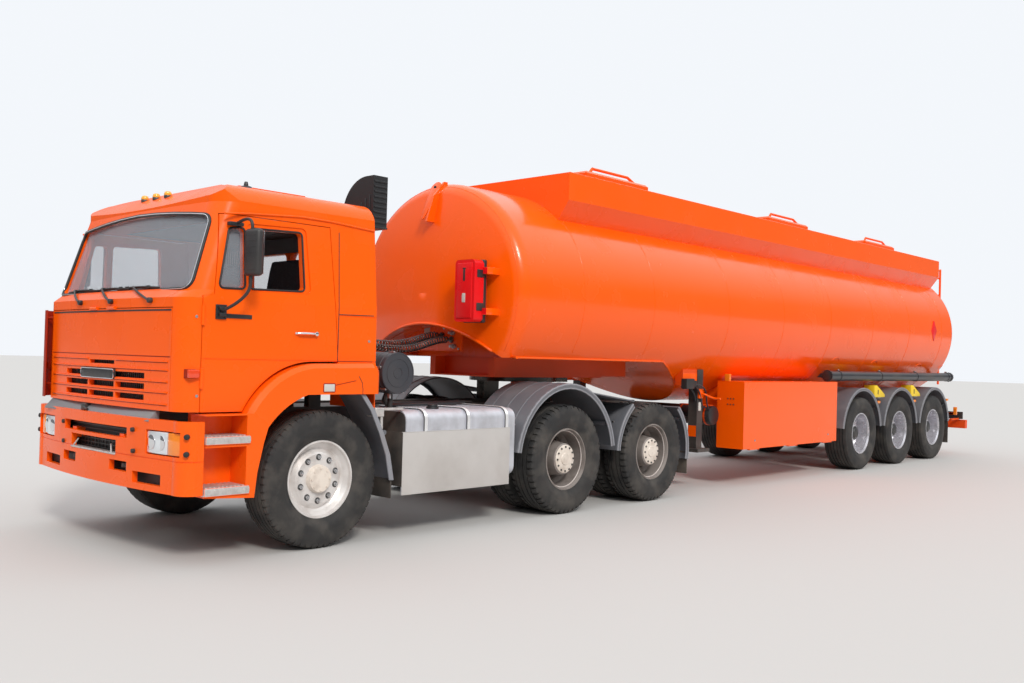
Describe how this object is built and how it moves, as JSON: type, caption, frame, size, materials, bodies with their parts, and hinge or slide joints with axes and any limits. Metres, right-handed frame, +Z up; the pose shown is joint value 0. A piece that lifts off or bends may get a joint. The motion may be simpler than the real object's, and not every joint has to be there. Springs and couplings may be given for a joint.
{
  "type": "tanker truck",
  "caption": "Cab-over tractor with an oval tank semi-trailer hinged at its coupling, with steered front wheels, opening doors, front lid and side box.",
  "frame": {"origin": "middle of the footprint, on the ground", "axes": "+Y to the rear, +X to the vehicle's left, +Z up; the front faces -Y"},
  "size_m": [2.8666, 15.35, 3.707],
  "materials": {
    "tyre": "black rubber, dusty sidewalls",
    "wheel_silver": "dirty silver paint",
    "chassis_black": "matt black paint",
    "cast_grey": "oily cast metal",
    "cab_orange": "gloss orange paint, light dust",
    "tank_orange": "gloss orange paint",
    "trim_black": "black moulded plastic",
    "clear_glass": "clear glass",
    "seat_dark": "dark cloth and plastic",
    "lamp_lens": "lamp lenses",
    "tank_aluminium": "brushed, dusty aluminium",
    "red_plastic": "red box"
  },
  "bodies": {
    "tractor": {"tractor_chassis": "chassis_black", "engine_block": "cast_grey", "cab_shell": "cab_orange", "cab_roof": "cab_orange", "cab_glass": "clear_glass", "cab_interior": "seat_dark", "bumper": "cab_orange", "lamps": "lamp_lens", "wheel_arches": "cab_orange", "air_intake": "trim_black", "fuel_tank": "tank_aluminium", "air_tanks": "chassis_black", "mudguards": "trim_black", "fifth_wheel": "cast_grey", "air_hose_1": "trim_black", "air_hose_2": "trim_black"},
    "front_lid": {"front_panel": "cab_orange"},
    "trailer": {"tank_shell": "tank_orange", "top_boards": "tank_orange", "manhole_boxes": "tank_orange", "trailer_chassis": "tank_orange", "landing_legs": "chassis_black", "tool_box": "tank_orange", "hose_tube": "trim_black", "trailer_mudguards": "trim_black", "extinguisher_box": "red_plastic"},
    "box_door": {"tool_box_door": "tank_orange"},
    "left_door": {"door_left": "cab_orange", "door_glass_left": "clear_glass", "mirror_left": "trim_black"},
    "right_door": {"door_right": "cab_orange", "door_glass_right": "clear_glass", "mirror_right": "trim_black"},
    "left_knuckle": {"knuckle_left": "cast_grey"},
    "right_knuckle": {"knuckle_right": "cast_grey"},
    "wheel_front_left": {"tyre_front_left": "tyre", "rim_front_left": "wheel_silver"},
    "wheel_front_right": {"tyre_front_right": "tyre", "rim_front_right": "wheel_silver"},
    "wheels_drive_1_left": {"tyres_drive_1_left": "tyre", "rims_drive_1_left": "wheel_silver"},
    "wheels_drive_1_right": {"tyres_drive_1_right": "tyre", "rims_drive_1_right": "wheel_silver"},
    "wheels_drive_2_left": {"tyres_drive_2_left": "tyre", "rims_drive_2_left": "wheel_silver"},
    "wheels_drive_2_right": {"tyres_drive_2_right": "tyre", "rims_drive_2_right": "wheel_silver"},
    "wheel_trailer_1_left": {"tyre_trailer_1_left": "tyre", "rim_trailer_1_left": "wheel_silver"},
    "wheel_trailer_1_right": {"tyre_trailer_1_right": "tyre", "rim_trailer_1_right": "wheel_silver"},
    "wheel_trailer_2_left": {"tyre_trailer_2_left": "tyre", "rim_trailer_2_left": "wheel_silver"},
    "wheel_trailer_2_right": {"tyre_trailer_2_right": "tyre", "rim_trailer_2_right": "wheel_silver"},
    "wheel_trailer_3_left": {"tyre_trailer_3_left": "tyre", "rim_trailer_3_left": "wheel_silver"},
    "wheel_trailer_3_right": {"tyre_trailer_3_right": "tyre", "rim_trailer_3_right": "wheel_silver"}
  },
  "joints": [
    {"name": "trailer_pivot", "type": "hinge", "parent": "tractor", "child": "trailer", "pos_m": [0, -3.055, 1.3], "axis": [0, 0, 1], "range_deg": [-90, 90], "deforming": ["air_hose_1", "air_hose_2"]},
    {"name": "front_lid_hinge", "type": "hinge", "parent": "tractor", "child": "front_lid", "pos_m": [0, -7.627, 1.791], "axis": [-1, 0, 0], "range_deg": [0, 85]},
    {"name": "left_door_hinge", "type": "hinge", "parent": "tractor", "child": "left_door", "pos_m": [1.165, -7.44, 1.7], "axis": [0, 0, -1], "range_deg": [0, 75]},
    {"name": "right_door_hinge", "type": "hinge", "parent": "tractor", "child": "right_door", "pos_m": [-1.165, -7.44, 1.7], "axis": [0, 0, 1], "range_deg": [0, 75]},
    {"name": "box_door_hinge", "type": "hinge", "parent": "trailer", "child": "box_door", "pos_m": [1.243, 1.005, 0.452], "axis": [0, 1, 0], "range_deg": [0, 90]},
    {"name": "steer_left", "type": "hinge", "parent": "tractor", "child": "left_knuckle", "pos_m": [0.9, -6.405, 0.53], "axis": [0, 0, 1], "range_deg": [-40, 40]},
    {"name": "steer_right", "type": "hinge", "parent": "tractor", "child": "right_knuckle", "pos_m": [-0.9, -6.405, 0.53], "axis": [0, 0, 1], "range_deg": [-40, 40]},
    {"name": "spin_front_left", "type": "hinge", "parent": "left_knuckle", "child": "wheel_front_left", "pos_m": [1.025, -6.405, 0.53], "axis": [1, 0, 0], "continuous": true},
    {"name": "spin_front_right", "type": "hinge", "parent": "right_knuckle", "child": "wheel_front_right", "pos_m": [-1.025, -6.405, 0.53], "axis": [1, 0, 0], "continuous": true},
    {"name": "spin_drive_1_left", "type": "hinge", "parent": "tractor", "child": "wheels_drive_1_left", "pos_m": [0.9175, -3.565, 0.53], "axis": [1, 0, 0], "continuous": true},
    {"name": "spin_drive_1_right", "type": "hinge", "parent": "tractor", "child": "wheels_drive_1_right", "pos_m": [-0.9175, -3.565, 0.53], "axis": [1, 0, 0], "continuous": true},
    {"name": "spin_drive_2_left", "type": "hinge", "parent": "tractor", "child": "wheels_drive_2_left", "pos_m": [0.9175, -2.125, 0.53], "axis": [1, 0, 0], "continuous": true},
    {"name": "spin_drive_2_right", "type": "hinge", "parent": "tractor", "child": "wheels_drive_2_right", "pos_m": [-0.9175, -2.125, 0.53], "axis": [1, 0, 0], "continuous": true},
    {"name": "spin_trailer_1_left", "type": "hinge", "parent": "trailer", "child": "wheel_trailer_1_left", "pos_m": [1.0575, 3.145, 0.53], "axis": [1, 0, 0], "continuous": true},
    {"name": "spin_trailer_1_right", "type": "hinge", "parent": "trailer", "child": "wheel_trailer_1_right", "pos_m": [-1.0575, 3.145, 0.53], "axis": [1, 0, 0], "continuous": true},
    {"name": "spin_trailer_2_left", "type": "hinge", "parent": "trailer", "child": "wheel_trailer_2_left", "pos_m": [1.0575, 4.555, 0.53], "axis": [1, 0, 0], "continuous": true},
    {"name": "spin_trailer_2_right", "type": "hinge", "parent": "trailer", "child": "wheel_trailer_2_right", "pos_m": [-1.0575, 4.555, 0.53], "axis": [1, 0, 0], "continuous": true},
    {"name": "spin_trailer_3_left", "type": "hinge", "parent": "trailer", "child": "wheel_trailer_3_left", "pos_m": [1.0575, 5.965, 0.53], "axis": [1, 0, 0], "continuous": true},
    {"name": "spin_trailer_3_right", "type": "hinge", "parent": "trailer", "child": "wheel_trailer_3_right", "pos_m": [-1.0575, 5.965, 0.53], "axis": [1, 0, 0], "continuous": true}
  ],
  "couplings": [
    {"joint": "steer_right", "follows": "steer_left", "ratio": 1}
  ]
}
